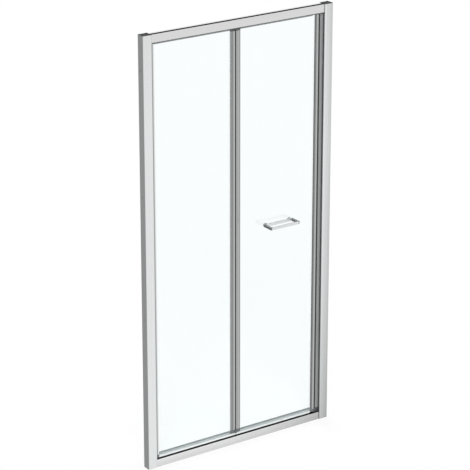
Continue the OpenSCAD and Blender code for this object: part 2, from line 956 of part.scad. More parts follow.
// Clear washers on both faces of the glass
module handle_washers() {
  color("white") handle_spots() {
    for (y = [-glass_thickness / 2 - washer_t, glass_thickness / 2])
      difference() {
        rod_y(0, y, y + washer_t, 0, 8);
        rod_y(0, y - e, y + washer_t + e, 0, 2.7);
      }
  }
}

module handle_bushes() {
  color("white") handle_spots() difference() {
    rod_y(0, -glass_thickness / 2 + fit, glass_thickness / 2 - fit, 0, 5.8);
    rod_y(0, -glass_thickness, glass_thickness, 0, 2.7);
  }
}

// Bolts from the inside, with flat round heads
module handle_bolts() {
  y0 = glass_thickness / 2 + washer_t;
  color("silver") handle_spots() {
    rod_y(0, y0 + fit, y0 + 4, 0, 9);
    rod_y(0, handle_back - handle_bar + 2.5, y0 + 1, 0, 2.5);
  }
}

// ---------- what is drawn ----------

wall_channel_left();
wall_channel_right();
channel_cap_left();
channel_cap_right();
post_left();
post_right();
top_rail();
bottom_rail();
frame_screws();
lock_screws();
lock_screw_covers();
pivot_socket_top();
pivot_socket_bottom();
open_stop();
track_screws();
pivot_seal();
jamb_magnet_seal();
jamb_magnet();
jamb_foot();
post_strip();
glass_a();
pivot_stile();
hinge_stile_a();
gaskets_a();
pivot_block_top();
pivot_block_bottom();
pivot_pin_top();
pivot_pin_bottom();
hinge_block_a_top();
hinge_block_a_bottom();
hinge_pins();
hinge_seal();
top_seal_a();
bottom_seal_a();
block_screws_a();
glass_b();
hinge_stile_b();
leading_stile();
gaskets_b();
hinge_block_b_top();
hinge_block_b_bottom();
guide_arm_top();
guide_arm_bottom();
guide_pins();
door_magnet_seal();
door_magnet();
top_seal_b();
bottom_seal_b();
block_screws_b();
handle_loop();
handle_washers();
handle_bushes();
handle_bolts();
guide_block_top();
guide_block_bottom();
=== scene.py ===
# %% [markdown]
# # A bifold shower door, dressed for its portrait
#
# Two panes of toughened glass fold into the shower.  They hang in a frame of
# bright anodised aluminium, with a track at the head and one at the foot.  A
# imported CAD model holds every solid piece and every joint.  This script adds
# what CAD leaves out: how each material takes the light, the soft forms of
# the seals, small rounded edges, and the studio.
#
# All lengths are metres unless a name or comment says millimetres.  X runs
# along the opening, -Y is the outside of the shower and +Z is up.  The
# origin is the middle of the door's foot.

# %% Load the frame
import json
import math

import bpy
import numpy as np
from mathutils import Matrix, Vector


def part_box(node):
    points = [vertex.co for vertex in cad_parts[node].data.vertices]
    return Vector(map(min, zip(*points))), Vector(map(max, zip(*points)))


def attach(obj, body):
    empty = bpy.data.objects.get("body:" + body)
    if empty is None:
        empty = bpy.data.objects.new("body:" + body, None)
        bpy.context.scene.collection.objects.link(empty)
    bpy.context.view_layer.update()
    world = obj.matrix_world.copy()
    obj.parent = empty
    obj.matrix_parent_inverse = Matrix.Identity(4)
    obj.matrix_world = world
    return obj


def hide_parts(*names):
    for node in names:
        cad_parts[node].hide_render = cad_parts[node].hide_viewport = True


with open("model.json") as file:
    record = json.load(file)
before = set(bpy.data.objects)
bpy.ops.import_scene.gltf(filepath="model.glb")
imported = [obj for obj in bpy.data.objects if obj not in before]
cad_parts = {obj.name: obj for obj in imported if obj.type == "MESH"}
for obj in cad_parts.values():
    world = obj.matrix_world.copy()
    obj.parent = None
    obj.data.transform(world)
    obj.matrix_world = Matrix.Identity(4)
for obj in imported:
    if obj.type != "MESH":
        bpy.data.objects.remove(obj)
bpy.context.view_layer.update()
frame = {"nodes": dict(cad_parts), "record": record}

MM = 0.001
nodes = frame["nodes"]

# %% [markdown]
# ## Small tools for materials
#
# A finish can be painted as a picture or built from nodes.  Nodes are used
# here, because they stay sharp from close by and are worked out from real
# sizes.  Colours are written as the hex numbers that a screen shows.
# Shaders want linear light, so one function turns the first into the second.

# %% Colours and nodes
def linear(code):
    """Linear RGBA from a hex colour, by the sRGB curve: v / 12.92 below
    0.04045, else ((v + 0.055) / 1.055) to the power 2.4."""
    v = np.array([int(code[i:i + 2], 16) for i in (1, 3, 5)]) / 255
    curve = np.where(v <= 0.04045, v / 12.92, ((v + 0.055) / 1.055) ** 2.4)
    return (*curve.tolist(), 1.0)


def add_node(tree, kind, settings=None, sockets=None):
    """One node.  settings are its attributes; sockets are its inputs by name
    or number, each a value to set or another node's output to link."""
    node = tree.nodes.new(kind)
    for key, value in (settings or {}).items():
        setattr(node, key, value)
    for key, value in (sockets or {}).items():
        if isinstance(value, bpy.types.NodeSocket):
            tree.links.new(value, node.inputs[key])
        else:
            node.inputs[key].default_value = value
    return node


print("mid grey #808080 is", round(linear("#808080")[0], 3), "in linear light")


# %% A material with one main shader
def shader_of(mat):
    """The main shader, which Blender gives to every new material."""
    return mat.node_tree.nodes["Principled BSDF"]


def new_material(name, colour, roughness, metallic=0.0, **more):
    """A material with one main shader; more names further sockets."""
    mat = bpy.data.materials.new(name)
    mat.use_nodes = True
    more.update(Base_Color=linear(colour), Roughness=roughness,
                Metallic=metallic)
    for key, value in more.items():
        shader_of(mat).inputs[key.replace("_", " ")].default_value = value
    return mat


def tinted(mat, factor, where=1.0):
    """Multiplies the colour by a factor, fully where `where` is 1.  Inputs
    0, 6 and 7 of a colour mix are its factor and its two colours."""
    tree, shader = mat.node_tree, shader_of(mat)
    source = shader.inputs["Base Color"].links[0].from_socket
    tint = add_node(tree, "ShaderNodeMix",
                    {"data_type": "RGBA", "blend_type": "MULTIPLY"},
                    {0: where, 6: source, 7: factor})
    tree.links.new(tint.outputs[2], shader.inputs["Base Color"])


# %% [markdown]
# No real surface is one flat colour.  A stretched noise breaks it up: its
# grains get the length of die lines, moulding texture or rolled waves along
# each axis.  The same noise moves colour, gloss and height, as dirt, wear
# and tool marks do together.

# %% Grain
def grain(mat, size, colours, rough, lift=0.0):
    """Mixes two colours and two roughnesses by one noise.  size is a grain's
    length along X, Y and Z in millimetres, so the noise has 1000 / size
    grains to the metre.  Most of the noise lies between 0.3 and 0.7.  lift
    is the height of its bumps in millimetres."""
    tree, shader = mat.node_tree, shader_of(mat)
    place = add_node(tree, "ShaderNodeTexCoord")
    stretch = add_node(tree, "ShaderNodeMapping", None, {
        "Vector": place.outputs["Object"], "Scale": [1000 / s for s in size]})
    noise = add_node(tree, "ShaderNodeTexNoise", None, {
        "Vector": stretch.outputs["Vector"], "Scale": 1.0, "Detail": 3.0,
        "Roughness": 0.55}).outputs["Fac"]
    tone = add_node(tree, "ShaderNodeMix", {"data_type": "RGBA"}, {
        0: noise, 6: linear(colours[0]), 7: linear(colours[1])})
    spread = add_node(tree, "ShaderNodeMapRange", None, {
        "Value": noise, "From Min": 0.3, "From Max": 0.7,
        "To Min": rough[0], "To Max": rough[1]})
    tree.links.new(tone.outputs[2], shader.inputs["Base Color"])
    tree.links.new(spread.outputs["Result"], shader.inputs["Roughness"])
    if lift:
        bump = add_node(tree, "ShaderNodeBump", None, {
            "Height": noise, "Strength": 0.6, "Distance": lift * MM})
        tree.links.new(bump.outputs["Normal"], shader.inputs["Normal"])


# %% [markdown]
# One long piece may need painted light and painted shade side by side, such
# as a pale front and darker lips.  It could be cut into pieces with a material
# each, but the CAD node is one piece of metal, so its colour changes with the
# place on it instead.

# %% Bands of tone, and painted shade inside
def place_parts(mat):
    """A node that gives the X, Y and Z of the place on the object."""
    place = add_node(mat.node_tree, "ShaderNodeTexCoord")
    return add_node(mat.node_tree, "ShaderNodeSeparateXYZ", None,
                    {0: place.outputs["Object"]})


def bands(mat, axis, stops, blend="CONSTANT"):
    """Multiplies the colour by a factor that changes along one axis.  stops
    are (place in millimetres, factor), in order of place."""
    tree, parts = mat.node_tree, place_parts(mat)
    first, last = stops[0][0], stops[-1][0]
    along = add_node(tree, "ShaderNodeMapRange", None, {
        "Value": parts.outputs[axis], "From Min": first * MM,
        "From Max": last * MM})
    ramp = add_node(tree, "ShaderNodeValToRGB", None,
                    {"Fac": along.outputs["Result"]})
    ramp.color_ramp.interpolation = blend
    for at, factor in stops[1:-1]:
        ramp.color_ramp.elements.new((at - first) / (last - first))
    for element, (at, factor) in zip(ramp.color_ramp.elements, stops):
        element.color = (factor, factor, factor, 1)
    tinted(mat, ramp.outputs["Color"])


def painted_shade_inside(mat, y_range, z_range, factor):
    """Multiplies the colour by a factor inside a box in Y and Z (mm): there
    the distance to the box's middle is under half its width on both axes."""
    tree, parts = mat.node_tree, place_parts(mat)
    near = [add_node(tree, "ShaderNodeMath", {"operation": "COMPARE"}, {
        0: parts.outputs[axis], 1: (low + high) / 2 * MM,
        2: (high - low) / 2 * MM}).outputs[0]
        for axis, (low, high) in (("Y", y_range), ("Z", z_range))]
    both = add_node(tree, "ShaderNodeMath", {"operation": "MULTIPLY"},
                    {0: near[0], 1: near[1]})
    tinted(mat, (factor, factor, factor, 1), both.outputs[0])


# %% [markdown]
# ## Metals
#
# Every bar is an extrusion of aluminium, chemically brightened and anodised.
# The die leaves very fine lines along it, and the oxide layer makes its
# gloss silky.  Die lines are about 0.1 mm apart, which is too fine to show
# here, so they are drawn 1.4 mm apart and half a metre long.  Upright bars
# and level rails have their own versions, with the lines turned their way.

# %% Anodised aluminium
DIE_LINE, DIE_LENGTH = 1.43, 500  # mm, across and along


def anodised(name, along, pale, dark, rough):
    """Aluminium with die lines along one axis."""
    mat = new_material(name, pale, rough[0], 1.0)
    size = [DIE_LENGTH if axis == along else DIE_LINE for axis in "xyz"]
    grain(mat, size, (dark, pale), rough, 0.01)
    return mat


# Wall channels get painted shade: a dark line beside the left one's inner lip
# and a fall towards its top; the right one darkens towards its outer side and
# its foot.
channel_metal = anodised("anodised_aluminium_channel", "z", "#f1f3f3",
                         "#e6e9e9", (0.20, 0.30))
bands(channel_metal, "X", [(-485, 0.97), (-442.4, 0.6), (-440.5, 0.8),
                           (-430, 1.0)])
bands(channel_metal, "Z", [(0, 1.0), (1550, 1.0), (1950, 0.94)], "LINEAR")
channel_right_painted_shade = anodised("anodised_aluminium_channel_right_painted_shade", "z",
                               "#f1f3f3", "#e6e9e9", (0.20, 0.30))
bands(channel_right_painted_shade, "X", [
    (440, 1.0), (449, 0.98), (453, 0.9), (465, 0.85), (476, 0.79),
    (481, 0.72), (484, 0.76)], "LINEAR")
bands(channel_right_painted_shade, "Z", [
    (0, 0.70), (300, 0.83), (650, 0.92), (1100, 0.98), (1300, 1.0),
    (1950, 0.97)], "LINEAR")
# Posts slide in the channels; they are a shade darker and less glossy than the
# fronts.
post_metal = anodised("anodised_aluminium_post", "z", "#e9ecec", "#dcdfdf",
                      (0.22, 0.32))
print("channel and post metals ready")

# %% Rails
# The rails' front walls are bright.  Their groove and track get painted
# shade, for the little light that finds its way between the walls, and the
# foot rail gets painted shade towards its right end and its lower edge and
# painted light along its upper edge.
rail_top_metal = anodised("anodised_aluminium_rail_top", "x", "#e6e6e6",
                          "#d9d9d9", (0.20, 0.30))
painted_shade_inside(rail_top_metal, (-15.9, 2.3), (1939, 1950), 0.17)
rail_foot_metal = anodised("anodised_aluminium_rail_foot", "x", "#efefef",
                           "#e2e2e2", (0.20, 0.30))
painted_shade_inside(rail_foot_metal, (-15.9, 15.9), (3, 40), 0.4)
bands(rail_foot_metal, "X", [(-442, 1.0), (-150, 0.98), (120, 0.91),
                             (260, 0.82), (442, 0.66)], "LINEAR")
bands(rail_foot_metal, "Z", [(-1, 0.9), (8, 0.93), (25, 1.0), (30, 1.05),
                             (36, 1.08)], "LINEAR")
print("rail metals ready")

# %% [markdown]
# A stile grips the edge of a pane.  Its colour changes in steps across each
# bar, as painted light and shade on its front and lips: the pivoted edge
# first, then the two stiles of the fold, then the closing edge.

# %% Stiles
stile_metal = anodised("anodised_aluminium_stile_painted_light_and_shade", "z", "#e6e9e8", "#d8dbda",
                       (0.18, 0.28))
# Painted light and painted shade: each stile's faces and lips get their own
# factor.
bands(stile_metal, "X", [
    (-450, 0.62), (-431.4, 1.15), (-300, 0.62), (-43.6, 0.66), (-41.0, 0.40),
    (-31.5, 0.66), (-18.0, 0.57), (-3.6, 0.72), (-1.0, 0.50), (300, 0.31),
    (405.2, 0.70), (430, 0.70)])
print("stile metal ready")

# %% [markdown]
# The handle is cast, polished and chromed: nearly a mirror, with the very
# slow waves that polishing leaves.  Its flat top is brushed before it is
# chromed, so it has fine lines along the bar and a softer gloss.

# %% Chrome and steel
chrome = new_material("polished_chrome", "#e4e6e8", 0.06, 1.0)
grain(chrome, (25, 25, 25), ("#dfe1e3", "#e8eaec"), (0.04, 0.09))
chrome_satin = new_material("satin_chrome", "#bcbdc0", 0.2, 1.0)
grain(chrome_satin, (250, 1.11, 1.11), ("#b4b5b8", "#c2c3c6"), (0.16, 0.26),
      0.005)
# The handle's short arms get painted shade, darker than its long bars: on
# their polished sides that face left, and all over their brushed top.
bands(chrome, "X", [(120, 0.5), (138, 1.0), (279.5, 0.5), (281.5, 1.0),
                    (300, 1.0)])
bands(chrome_satin, "X", [(120, 0.25), (143.5, 1.0), (279.5, 0.25),
                          (300, 0.25)])
# Zinc plate on screws is greyer, with spots of a few millimetres.
screw_steel = new_material("zinc_plated_steel", "#b9babd", 0.3, 1.0)
grain(screw_steel, (3.3, 3.3, 3.3), ("#a5a6a9", "#c4c5c8"), (0.25, 0.4), 0.01)
# Pins are ground round, which leaves rings 0.4 mm apart.
pin_steel = new_material("ground_stainless_steel", "#c3c4c6", 0.25, 1.0)
grain(pin_steel, (16.7, 16.7, 0.4), ("#b2b3b5", "#cbccce"), (0.2, 0.34),
      0.004)
print("chrome and steel ready")

# %% [markdown]
# ## Plastics and rubbers
#
# The caps, end blocks, guides and covers are injection moulded.  Their mould
# was spark-eroded, so they have an even texture of 0.6 to 1 mm that dulls
# the gloss.

# %% Mouldings
def moulded(name, pale, dark, rough, texture, lift, **more):
    """Moulded plastic with an even texture, in millimetres across."""
    mat = new_material(name, pale, rough[0], **more)
    grain(mat, (texture,) * 3, (dark, pale), rough, lift)
    return mat


# Black ABS caps: matt, with hardly any shine.
cap_plastic = moulded("dark_abs_cap", "#303031", "#252526", (0.5, 0.65),
                      0.6, 0.03, Specular_IOR_Level=0.15)
# Acetal is slippery and a little waxy; the lower blocks are paler.
block_plastic = moulded("dark_acetal_block", "#545859", "#454849",
                        (0.38, 0.52), 0.8, 0.02)
bands(block_plastic, "Z", [(0, 1.6), (1500, 1.0), (2000, 1.0)])
stop_rubber = moulded("stop_rubber", "#2a2a2b", "#202021", (0.7, 0.85), 0.7,
                      0.04)
cover_plastic = moulded("screw_cover_plastic", "#c9cccd", "#bfc2c3",
                        (0.28, 0.4), 0.8, 0.01)
foot_rubber = moulded("dark_grey_rubber", "#55585b", "#474a4d", (0.5, 0.65),
                      0.9, 0.02)
# Nylon lets a little light in, which softens its edges.
guide_nylon = moulded("natural_nylon", "#e6e5dd", "#d9d8cf", (0.35, 0.5), 1.0,
                      0.02, Subsurface_Weight=0.1)
magnet_ferrite = moulded("magnet_ferrite", "#1e1e20", "#171718", (0.6, 0.8),
                         0.9, 0.02)
print("mouldings ready")

# %% [markdown]
# Soft strips are pushed out of a die like the metal bars, so they are smooth
# along the strip and streaky across it.  The streaks are drawn 1.1 mm wide
# and 333 mm long.

# %% Soft strips
STREAK, STREAK_LENGTH = 1.11, 333  # mm, across and along


def strip(name, pale, dark, rough):
    """Extruded upright strip: streaks along Z, fine texture across."""
    mat = new_material(name, pale, rough[0])
    grain(mat, (STREAK, STREAK, STREAK_LENGTH), (dark, pale), rough, 0.01)
    return mat


seal_grey = strip("grey_soft_pvc", "#9a9d9c", "#8c8f8e", (0.4, 0.55))
seal_lip = strip("dark_soft_pvc", "#656867", "#595c5b", (0.45, 0.6))
seal_black = strip("black_soft_rubber", "#222525", "#181a1a", (0.45, 0.6))
gasket_rubber = strip("dark_gasket_rubber", "#4c5051", "#3e4142",
                      (0.5, 0.65))
print("soft strips ready")


# %% [markdown]
# ## Glass and clear plastics
#
# The panes are toughened float glass, clear with a breath of blue-green and
# slow waves of 333 to 500 mm from the rollers.  Their shadow has to stay
# light.  Caustics would do that, but they are slow and noisy, so shadow rays
# pass straight through with a faint tint instead.

# %% Glass
def light_shadow(mat, tint):
    """Lets shadow rays through a clear material with only a faint tint."""
    tree = mat.node_tree
    path = add_node(tree, "ShaderNodeLightPath")
    clear = add_node(tree, "ShaderNodeBsdfTransparent", None,
                     {"Color": linear(tint)})
    mix = add_node(tree, "ShaderNodeMixShader", None, {
        0: path.outputs["Is Shadow Ray"], 1: shader_of(mat).outputs[0],
        2: clear.outputs[0]})
    tree.links.new(mix.outputs[0],
                   tree.nodes["Material Output"].inputs["Surface"])


glass_clear = new_material("clear_float_glass", "#f7fdfc", 0.0,
                           Transmission_Weight=1.0, IOR=1.5)
grain(glass_clear, (333, 333, 500), ("#f8fdfe", "#fcffff"), (0.0, 0.012))
light_shadow(glass_clear, "#f7fbfb")
print("glass ready")


# %% [markdown]
# The seals on the glass edges are PVC that is pushed out in two hardnesses:
# a harder grey grip, and clear or milky fins.  The upper seals' grip is
# paler, as painted light.  The gaskets inside the stiles are clear, and get
# painted shade where the closing stile shades them.

# %% Clear and milky PVC
def clear_pvc(name, colour, pair, rough, through, ior, shadow=None,
              along="x"):
    """Extruded PVC; through is the share of light that passes."""
    mat = new_material(name, colour, sum(rough) / 2,
                       Transmission_Weight=through, IOR=ior)
    grain(mat, [STREAK_LENGTH if axis == along else DIE_LINE
                for axis in "xyz"], pair, rough, 0.01)
    if shadow:
        light_shadow(mat, shadow)
    return mat


seal_clear = clear_pvc("clear_soft_pvc", "#bec7c8", ("#b3bcbe", "#c8d0d1"),
                       (0.22, 0.4), 0.55, 1.45, "#e7ebec")
seal_grip = clear_pvc("grey_hard_pvc", "#8b9191", ("#7f8585", "#959b9b"),
                      (0.3, 0.45), 0.15, 1.5)
# Painted light: the grip of the upper seals is paler.
bands(seal_grip, "Z", [(0, 1.0), (1500, 1.35), (2000, 1.35)])
seal_white = clear_pvc("milky_soft_pvc", "#e6e9e9", ("#e0e3e3", "#ebeded"),
                       (0.28, 0.45), 0.25, 1.45, "#f3f7f8")
gasket_clear = clear_pvc("clear_glazing_gasket", "#f4f8f8",
                         ("#f0f5f5", "#f8fbfb"), (0.15, 0.3), 0.85, 1.4,
                         "#e7ebec", "z")
# Painted shade where the closing stile shades the gaskets.
bands(gasket_clear, "X", [(-450, 1.0), (300, 0.2), (450, 0.2)])
# Clear washers keep the handle's metal off the glass.
washer_clear = new_material("clear_washer", "#f1f5f5", 0.2,
                            Transmission_Weight=0.9, IOR=1.45)
grain(washer_clear, (2, 2, 2), ("#eef3f3", "#f6fafa"), (0.15, 0.3))
light_shadow(washer_clear, "#f3f7f8")
print("clear plastics ready")

# %% [markdown]
# ## Dressing the CAD pieces
#
# Each CAD node takes the material of its slot, or one of its own where the
# real piece has another finish.  A cut or moulded edge is never razor sharp.
# A small bevel rounds it, so that it catches a line of light; it is made by
# a modifier, because the CAD mesh itself stays as it is.

# %% Which material goes where
by_slot = {
    "channel_metal": channel_metal, "post_metal": post_metal,
    "rail_metal": rail_foot_metal, "cap_plastic": cap_plastic,
    "screw_steel": screw_steel, "pin_steel": pin_steel,
    "cover_plastic": cover_plastic, "block_plastic": block_plastic,
    "stop_rubber": stop_rubber, "seal_grey": seal_grey,
    "magnet_ferrite": magnet_ferrite, "glass_clear": glass_clear,
    "stile_metal": stile_metal, "gasket_rubber": gasket_rubber,
    "seal_black": seal_black, "seal_clear": seal_clear,
    "handle_chrome": chrome, "washer_clear": washer_clear,
    "guide_nylon": guide_nylon,
}
by_node = {"top_rail": rail_top_metal,
           "wall_channel_right": channel_right_painted_shade}
slot_of = {part["node"]: part["material_slot"]
           for part in frame["record"]["subparts"]}
print("materials:", len(by_slot) + len(by_node))

# %% Put them on and soften the edges
edge_width = {"glass_clear": 0.8, "channel_metal": 0.3, "rail_metal": 0.3,
              "post_metal": 0.3, "cap_plastic": 0.5, "cover_plastic": 0.6,
              "block_plastic": 0.5, "guide_nylon": 0.6, "washer_clear": 0.3}

for name, obj in nodes.items():
    mat = by_node.get(name, by_slot[slot_of[name]])
    if not obj.material_slots:
        obj.data.materials.append(mat)
    for slot in obj.material_slots:
        slot.material = mat
    if slot_of[name] in edge_width:
        soft = obj.modifiers.new("soft_edges", "BEVEL")
        soft.width = edge_width[slot_of[name]] * MM
        soft.segments = 2
        soft.limit_method = "ANGLE"
        soft.angle_limit = math.radians(40)
print("dressed", len(nodes), "nodes")


# %% [markdown]
# ## Tools for new shapes
#
# A seal or a screw is an outline that is carried along a line or round an
# axis.  A curve object with a bevel could do it, but it gives little control
# over ends and edges.  Here each outline is an array of points, and a
# surface is a stack of such outlines.

# %% Outlines
def arc(x, y, r, start, stop, steps=6):
    """Points at (x + r cos t, y + r sin t), where the angle t steps evenly
    from start to stop, in degrees."""
    t = np.radians(np.linspace(start, stop, steps))
    return np.column_stack((x + r * np.cos(t), y + r * np.sin(t)))


def rounded(x0, x1, y0, y1, r, steps=7):
    """A rectangle with a quarter circle of radius r at each corner, from the
    lower right corner counterclockwise."""
    return np.vstack([arc(x, y, r, start, start + 90, steps)
                      for x, y, start in (
                          (x1 - r, y0 + r, -90), (x1 - r, y1 - r, 0),
                          (x0 + r, y1 - r, 90), (x0 + r, y0 + r, 180))])


def mirrored(half):
    """A full outline: its right half, then the same points backwards with
    their first coordinate's sign turned."""
    half = np.asarray(half, float)
    return np.vstack((half, half[::-1] * (-1, 1)))


def raised(outline, at, axis="z"):
    """A ring in space: an outline in the two axes other than `axis`, in
    X, Y, Z order, at one place along it."""
    return np.insert(np.asarray(outline, float), "xyz".index(axis), at, 1)


print("a corner has", len(arc(0, 0, 1, 0, 90)), "points")


# %% Surfaces
def volume(points, faces):
    """A sixth of the sum of a . (b x c) over the triangles a, b, c of each
    face's fan.  It is negative where the faces point inwards."""
    corner = points[np.asarray(faces)]
    b, c = corner[:, 1:-1], corner[:, 2:]
    a = np.broadcast_to(corner[:, :1], b.shape)
    return np.sum(a * np.cross(b, c)) / 6


def loft(rings, is_ring=False):
    """Points and faces of a closed surface over a stack of rings.  Point i
    of ring k meets i + 1 and ring k + 1 in a four-sided face.  The first and
    the last ring are filled, or joined where the surface is itself a ring.
    Faces that come out with a negative volume are turned over."""
    rings = np.asarray(rings, float)
    many, count = rings.shape[:2]
    k, i = np.mgrid[0:many if is_ring else many - 1, 0:count]
    here, over = k * count, (k + 1) % many * count
    j = (i + 1) % count
    quads = np.stack((here + i, here + j, over + j, over + i), -1)
    quads = quads.reshape(-1, 4)
    points = rings.reshape(-1, 3)
    around = np.arange(count)
    ends = [] if is_ring else [around[::-1], around + (many - 1) * count]
    total = volume(points, quads) + (volume(points, ends) if ends else 0)
    faces = quads.tolist() + [end.tolist() for end in ends]
    return points, faces if total > 0 else [face[::-1] for face in faces]


def bar(outline, low, high, axis):
    """An outline carried from low to high along an axis."""
    return loft([raised(outline, low, axis), raised(outline, high, axis)])


def joined(pieces):
    """Several closed surfaces as one; each one's faces count on from the
    points before it."""
    start = np.cumsum([0] + [len(points) for points, faces in pieces])
    faces = [[int(first) + i for i in face]
             for first, (points, some) in zip(start, pieces)
             for face in some]
    return np.vstack([points for points, faces in pieces]), faces


cube = loft([raised(mirrored([(1, -1), (1, 1)]), z) for z in (-1, 1)])
print("volume of a test cube:", volume(cube[0], cube[1]))


# %% [markdown]
# A new piece takes the place of a CAD node.  The node stays for collision and
# is hidden here, and the new piece rides on the same body.

# %% Put a new piece in a node's place
def add_piece(name, shape, mats, body, node, pick=None, sharp=32):
    """A mesh object in place of a CAD node.  pick(x, y, z) gives the number
    of the material for each face from the middles of all faces."""
    points, faces = shape
    mesh = bpy.data.meshes.new(name)
    mesh.from_pydata(points.tolist(), [], faces)
    for mat in mats:
        mesh.materials.append(mat)
    if pick:
        middle = np.empty(3 * len(faces))
        mesh.polygons.foreach_get("center", middle)
        number = pick(*middle.reshape(-1, 3).T).astype(np.int32)
        mesh.polygons.foreach_set("material_index", number)
    mesh.polygons.foreach_set("use_smooth", [True] * len(faces))
    mesh.set_sharp_from_angle(angle=math.radians(sharp))
    mesh.update()
    obj = bpy.data.objects.new(name, mesh)
    bpy.context.scene.collection.objects.link(obj)
    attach(obj, body)
    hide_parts(node)
    print(name, "points:", len(points), "faces:", len(faces))


# %% [markdown]
# ## Seals on the edges of the glass
#
# The lower seal grips the pane with two beaded lips and ends in two fins
# that spread as they go down, so that water runs off inside.  Under the fold
# the grip stops and the fins run on, so a seal is made of two bars end to
# end.

# %% The lower seal's outline
glass_low, glass_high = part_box("glass_a")
pane = glass_high[1]
GAP = 0.1 * MM  # between a soft piece and what it holds
# Faces of the lips, and of the beads that stand out of them, by Y.
lip_in, lip_out, bead_out = pane + GAP, pane + 1.1 * MM, pane + 1.5 * MM
FIN_HEIGHT, BASE_THICK = 9.2 * MM, 1.5 * MM


def fin(z_root, z_tip):
    """Right half of the base with one fin, in Y and Z.  With c from 0 at the
    root to 1 at the tip, its outer face is at y = 5.2 mm + 1.5 mm times c to
    the power 1.6, and it is 1.25 mm thick less 0.55 mm times c."""
    side, chamfer, z_top = 5.2 * MM, 0.3 * MM, z_root + BASE_THICK
    c = np.linspace(0, 1, 9)
    outer = np.column_stack((side + 1.5 * MM * c ** 1.6,
                             z_root - (z_root - z_tip) * c))
    inner = outer + np.column_stack(((0.55 * c - 1.25) * MM, 0.25 * MM * c))
    return np.vstack(([(side - chamfer, z_top), (side, z_top - chamfer)],
                      outer, inner[::-1], [(side - 2 * MM, z_root)]))


def lower_outline(low, high, base):
    """Lips with round beads, a body under the glass, base and fins.  The
    lips end 3.2 mm below the CAD solid's top, as high as the photo shows."""
    crest, r = high[2] - 3.2 * MM, 0.6 * MM
    return mirrored(np.vstack((
        [(lip_in, glass_low[2] - GAP), (lip_in, crest - 1.5 * r)],
        arc(lip_in + r, crest - r, r, 180, 40, 5),
        [(bead_out, crest - 2.5 * r), (bead_out, glass_low[2] + 1.4 * MM),
         (lip_out, glass_low[2] + 0.9 * MM), (lip_out, base + 2.2 * MM),
         (lip_out + 0.3 * MM, base + BASE_THICK + GAP)],
        fin(base, low[2]))))


print("pane half thickness:", round(pane / MM, 2), "mm")


# %% Lower seals
def dress_lower(name, body, grip_x):
    """Grip between two X values in metres; the fins run the full length."""
    low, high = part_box(name)
    base = low[2] + FIN_HEIGHT
    bare = mirrored(np.vstack(([(0.5 * MM, base + BASE_THICK)],
                               fin(base, low[2]))))
    shape = [bar(lower_outline(low, high, base), *grip_x, "x")]
    shape += [bar(bare, x0, x1, "x")
              for x0, x1 in ((low[0], grip_x[0]), (grip_x[1], high[0]))
              if x1 - x0 > 1 * MM]
    add_piece(name + "_strip", joined(shape),
              [seal_grip, seal_clear, seal_white], body, name,
              lambda x, y, z: np.where(z > glass_low[2] + 0.5 * MM, 0,
                                       np.where(z > base - 1 * MM, 1, 2)))


block_a, block_b = (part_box(f"hinge_block_{side}_bottom") for side in "ab")
seal_a, seal_b = (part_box(f"bottom_seal_{side}") for side in "ab")
dress_lower("bottom_seal_a", "panel_a",
            (seal_a[0][0], block_a[0][0] - 0.2 * MM))
dress_lower("bottom_seal_b", "panel_b",
            (block_b[1][0] + 0.2 * MM, seal_b[1][0]))


# %% [markdown]
# The upper seal has the same two lips and one upright fin that brushes the
# rail.

# %% Upper seals
def dress_upper(name, body):
    """Lips with beads over the glass edge and one upright fin, in Y and Z:
    the right half from the fin's tip down to the pane, then mirrored."""
    low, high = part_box(name)
    roof, r = glass_high[2] + 1.4 * MM, 0.5 * MM
    half = np.vstack((
        [(0.6 * MM, high[2]), (1.0 * MM, high[2] - 0.4 * MM),
         (0.8 * MM, roof + 0.4 * MM), (1.3 * MM, roof),
         (lip_out - r, roof), (lip_out, roof - r),
         (lip_out, low[2] + 2.2 * MM), (bead_out, low[2] + 1.7 * MM)],
        arc(bead_out - r, low[2] + r, r, 0, -90, 4),
        arc(lip_in + r, low[2] + r, r, -90, -180, 4),
        [(lip_in, glass_high[2] + GAP)]))
    add_piece(name + "_strip", bar(mirrored(half), low[0], high[0], "x"),
              [seal_grip], body, name)


dress_upper("top_seal_a", "panel_a")
dress_upper("top_seal_b", "panel_b")


# %% [markdown]
# ## Upright seals
#
# The strip in the fold is pressed between two stiles when the door is
# straight.  It has two soft ribs on each face, and a foot that sits in one
# stile's groove.

# %% The seal in the fold
def dress_hinge_seal():
    """Ribs whose height is 0.8 mm times the size of sin(2 pi t), where t
    goes from 0 to 1 across the strip.  The foot in the groove is 2.5 mm
    deep and reaches from 2.1 mm before the middle to 1.1 mm behind it."""
    low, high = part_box("hinge_seal")
    root, foot_front, foot_rear = low[0] + 2.5 * MM, -2.1 * MM, 1.1 * MM
    t = np.linspace(0, 1, 13)
    x = root + (high[0] - root) * t
    sunk = 0.8 * MM * (1 - np.abs(np.sin(2 * np.pi * t)))
    outline = np.vstack((
        np.column_stack((x, low[1] + sunk)),
        np.column_stack((x, high[1] - sunk))[::-1],
        [(root, foot_rear), (low[0], foot_rear), (low[0], foot_front),
         (root, foot_front)]))
    add_piece("hinge_seal_strip", bar(outline, low[2], high[2], "z"),
              [seal_black], "panel_a", "hinge_seal")


dress_hinge_seal()


# %% [markdown]
# The strip on the pivot post has one lip that thins towards its tip and
# bends inwards, where it brushes the round edge of the pivoted stile.

